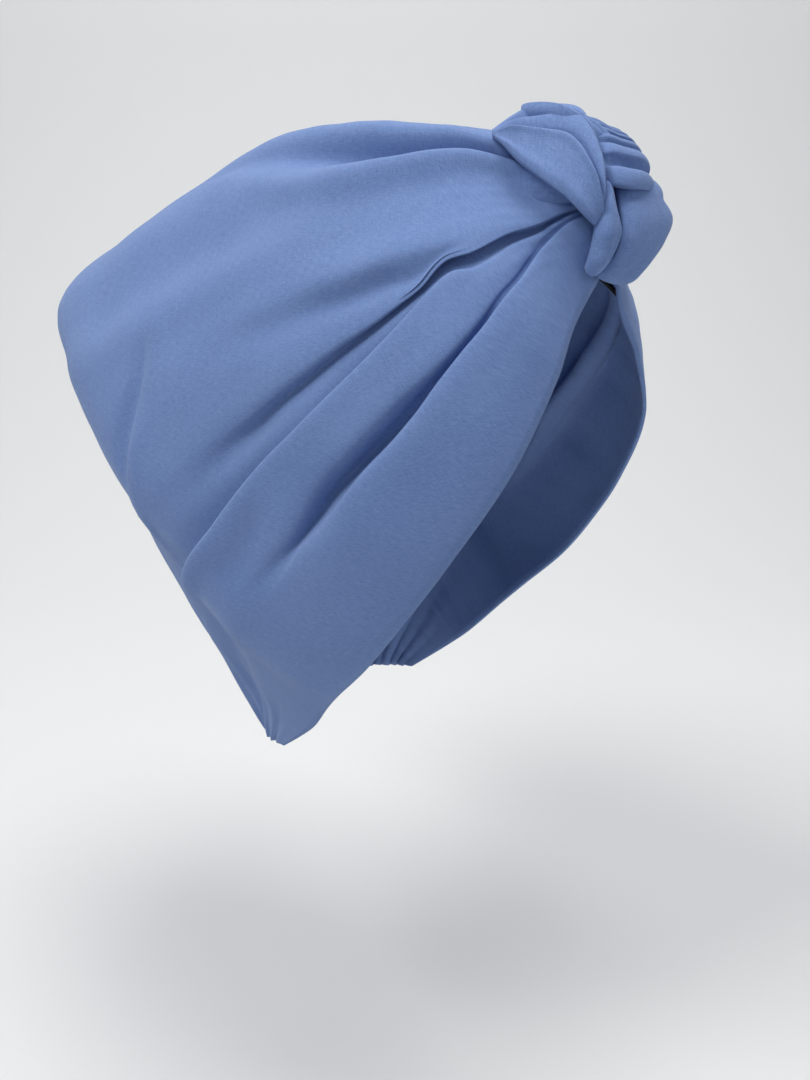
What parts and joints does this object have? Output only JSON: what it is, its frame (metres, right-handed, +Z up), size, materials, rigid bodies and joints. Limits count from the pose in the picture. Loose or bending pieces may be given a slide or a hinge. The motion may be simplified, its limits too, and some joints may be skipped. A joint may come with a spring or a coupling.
{
  "type": "knotted turban headwrap",
  "caption": "Pre-tied cloth turban cap: pleats fan from a front knot over the side to the nape, with a full bag at the back and an open hollow for the head.",
  "frame": {"origin": "centre of the head that wears the cap", "axes": "+Z up along the head, -Y towards the face, -X towards the wearer's right"},
  "size_m": [0.195, 0.2836, 0.2754],
  "materials": {
    "blue_cloth": "matte plain weave",
    "black_band": "matte"
  },
  "bodies": {
    "root": {"crown": "blue_cloth", "knot_loop": "blue_cloth", "knot_loop_far": "blue_cloth", "knot_pleats": "blue_cloth", "knot_tuck": "blue_cloth", "knot_tail": "blue_cloth", "knot_core": "blue_cloth", "brow_band": "black_band"}
  },
  "joints": []
}
